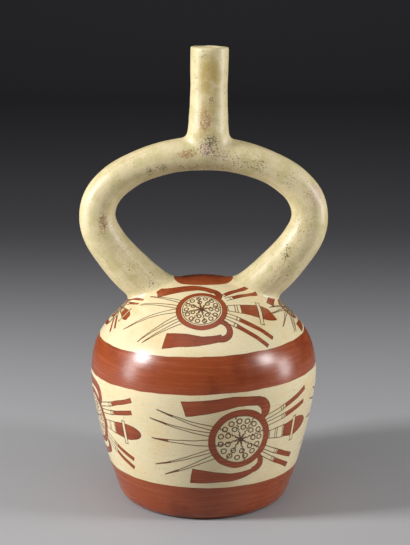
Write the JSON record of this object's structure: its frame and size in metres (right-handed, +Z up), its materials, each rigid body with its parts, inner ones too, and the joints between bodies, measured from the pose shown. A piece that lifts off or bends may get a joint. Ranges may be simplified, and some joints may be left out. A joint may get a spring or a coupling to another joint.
{
  "type": "stirrup spout vessel",
  "caption": "Hollow fired-clay bottle: round body on a flat base, stirrup-shaped tubular handle opening into it, one straight spout on top.",
  "frame": {"origin": "centre of the flat base, on the surface that the vessel stands on", "axes": "+Z up through the body and spout; +X along the stirrup, which lies in the XZ plane; -Y towards the viewer"},
  "size_m": [0.1532, 0.1404, 0.28],
  "materials": {
    "burnished_slip": "burnished cream slip with red-brown painted bands and figures, stained by burial"
  },
  "bodies": {
    "root": {"stirrup_spout_vessel": "burnished_slip"}
  },
  "joints": []
}
